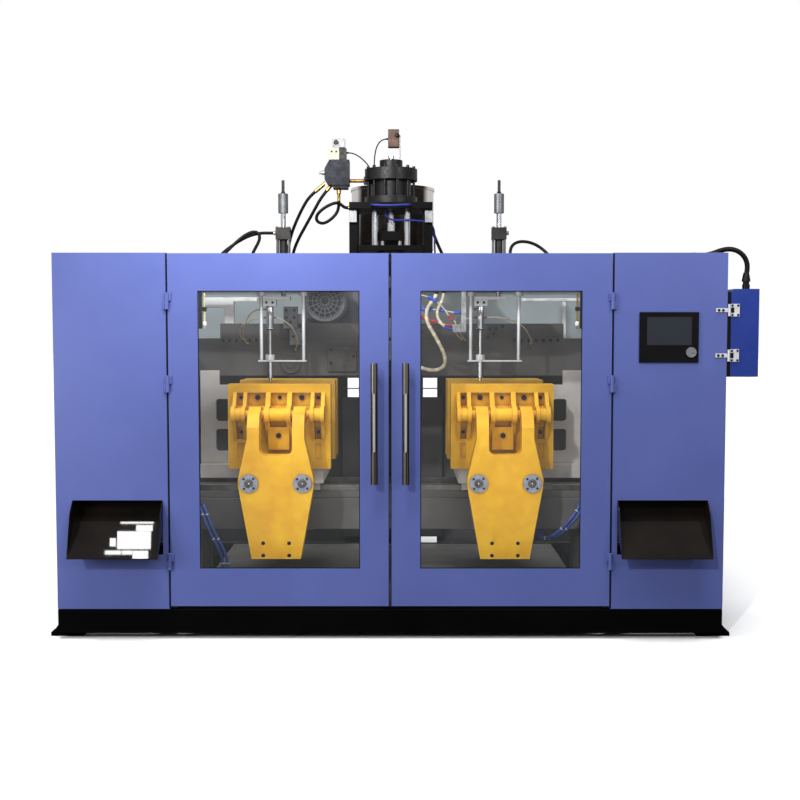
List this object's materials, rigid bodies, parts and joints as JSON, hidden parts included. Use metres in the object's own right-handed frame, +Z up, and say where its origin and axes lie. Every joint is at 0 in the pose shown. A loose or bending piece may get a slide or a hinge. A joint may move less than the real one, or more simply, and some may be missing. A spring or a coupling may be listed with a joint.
{
  "type": "blow moulding machine",
  "caption": "Double-station extrusion blow moulding machine with blue doors, yellow clamp units and a side control box",
  "frame": {"origin": "on the floor, at the middle of the four anchor holes", "axes": "+X to the right seen from the front, +Y to the back, +Z up"},
  "size_m": [3.654, 2.77, 2.732],
  "materials": {
    "frame_paint": "satin",
    "grey_paint": "satin",
    "bright_steel": "brushed",
    "blue_paint": "satin",
    "black_paint": "gloss",
    "black_plastic": "matte",
    "screen_glass": "gloss",
    "dark_steel": "matte",
    "aluminium": "satin",
    "cream_paint": "satin",
    "clear_pane": "clear",
    "dark_blue_paint": "satin",
    "red_plastic": "gloss",
    "blue_plastic": "satin",
    "yellow_paint": "satin",
    "cream_rubber": "matte",
    "black_rubber": "satin",
    "blue_rubber": "satin"
  },
  "bodies": {
    "machine": {"base_frame": "frame_paint", "levelling_feet": "frame_paint", "upper_frame": "grey_paint", "bed_beam": "grey_paint", "carriage_rails": "bright_steel", "outer_covers": "blue_paint", "frame_hinges": "blue_paint", "front_panel_left": "blue_paint", "front_panel_right": "blue_paint", "chute_left": "black_paint", "chute_right": "black_paint", "control_panel": "black_plastic", "display_screen": "screen_glass", "box_hinge_straps": "bright_steel", "blow_cylinders": "bright_steel", "stripper_frames": "bright_steel", "die_head": "dark_steel", "heater_bands": "bright_steel", "head_support": "bright_steel", "parison_cylinder": "black_paint", "position_sensor": "aluminium", "valve_manifold": "dark_steel", "servo_valve": "cream_paint", "extruder_barrel": "dark_steel", "gearbox": "grey_paint", "drive_motor": "grey_paint", "hopper": "bright_steel", "box_conduit": "black_rubber", "hydraulic_hoses": "black_rubber", "head_cables": "cream_rubber", "station_hoses": "blue_rubber", "air_hoses_left": "cream_rubber", "air_hoses_right": "cream_rubber"},
    "extruder_screw_body": {"extruder_screw": "bright_steel"},
    "parison_rod_body": {"parison_rod": "bright_steel"},
    "door_left_body": {"door_left": "blue_paint", "window_left": "clear_pane", "handle_left": "bright_steel"},
    "door_right_body": {"door_right": "blue_paint", "window_right": "clear_pane", "handle_right": "bright_steel"},
    "side_box": {"operator_box": "dark_blue_paint", "box_hinge_plates": "bright_steel"},
    "stop_button_body": {"stop_button": "red_plastic"},
    "start_button_body": {"start_button": "black_plastic"},
    "jog_dial_body": {"jog_dial": "blue_plastic"},
    "carriage_left_body": {"carriage_left": "grey_paint"},
    "clamp_left_body": {"front_yoke_left": "yellow_paint", "front_platen_left": "yellow_paint", "clamp_rods_left": "bright_steel", "rear_yoke_left": "yellow_paint"},
    "rear_platen_left_body": {"rear_platen_left": "yellow_paint"},
    "blow_pin_left_body": {"blow_pin_left": "bright_steel"},
    "carriage_right_body": {"carriage_right": "grey_paint"},
    "clamp_right_body": {"front_yoke_right": "yellow_paint", "front_platen_right": "yellow_paint", "clamp_rods_right": "bright_steel", "rear_yoke_right": "yellow_paint"},
    "rear_platen_right_body": {"rear_platen_right": "yellow_paint"},
    "blow_pin_right_body": {"blow_pin_right": "bright_steel"}
  },
  "joints": [
    {"name": "door_left_hinge", "type": "hinge", "parent": "machine", "child": "door_left_body", "pos_m": [-1.132, -0.9605, 1], "axis": [0, 0, -1], "range_deg": [0, 105]},
    {"name": "door_right_hinge", "type": "hinge", "parent": "machine", "child": "door_right_body", "pos_m": [1.132, -0.9605, 1], "axis": [0, 0, 1], "range_deg": [0, 105]},
    {"name": "side_box_hinge", "type": "hinge", "parent": "machine", "child": "side_box", "pos_m": [1.723, -0.957, 1.58], "axis": [0, 0, -1], "range_deg": [0, 90], "deforming": ["box_conduit"]},
    {"name": "stop_button_slide", "type": "slide", "parent": "side_box", "child": "stop_button_body", "axis": [-1, 0, 0], "range_m": [0, 0.004], "stiffness_N_per_m": 800},
    {"name": "start_button_slide", "type": "slide", "parent": "side_box", "child": "start_button_body", "axis": [-1, 0, 0], "range_m": [0, 0.004], "stiffness_N_per_m": 800},
    {"name": "jog_dial_turn", "type": "hinge", "parent": "machine", "child": "jog_dial_body", "pos_m": [1.531, -0.962, 1.481], "axis": [0, -1, 0], "continuous": true},
    {"name": "extruder_screw_turn", "type": "hinge", "parent": "machine", "child": "extruder_screw_body", "pos_m": [0, 0.7, 1.75], "axis": [0, 1, 0], "continuous": true},
    {"name": "parison_rod_slide", "type": "slide", "parent": "machine", "child": "parison_rod_body", "axis": [0, 0, 1], "range_m": [-0.01, 0.01]},
    {"name": "carriage_left_slide", "type": "slide", "parent": "machine", "child": "carriage_left_body", "axis": [1, 0, 0], "range_m": [0, 0.618]},
    {"name": "clamp_left_slide", "type": "slide", "parent": "carriage_left_body", "child": "clamp_left_body", "axis": [0, 1, 0], "range_m": [0, 0.12]},
    {"name": "rear_platen_left_slide", "type": "slide", "parent": "carriage_left_body", "child": "rear_platen_left_body", "axis": [0, 1, 0], "range_m": [-0.12, 0]},
    {"name": "blow_pin_left_slide", "type": "slide", "parent": "machine", "child": "blow_pin_left_body", "axis": [0, 0, 1], "range_m": [-0.08, 0], "deforming": ["air_hoses_left"]},
    {"name": "carriage_right_slide", "type": "slide", "parent": "machine", "child": "carriage_right_body", "axis": [1, 0, 0], "range_m": [-0.618, 0]},
    {"name": "clamp_right_slide", "type": "slide", "parent": "carriage_right_body", "child": "clamp_right_body", "axis": [0, 1, 0], "range_m": [0, 0.12]},
    {"name": "rear_platen_right_slide", "type": "slide", "parent": "carriage_right_body", "child": "rear_platen_right_body", "axis": [0, 1, 0], "range_m": [-0.12, 0]},
    {"name": "blow_pin_right_slide", "type": "slide", "parent": "machine", "child": "blow_pin_right_body", "axis": [0, 0, 1], "range_m": [-0.08, 0], "deforming": ["air_hoses_right"]}
  ],
  "couplings": [
    {"joint": "rear_platen_left_slide", "follows": "clamp_left_slide", "ratio": -1},
    {"joint": "rear_platen_right_slide", "follows": "clamp_right_slide", "ratio": -1}
  ]
}
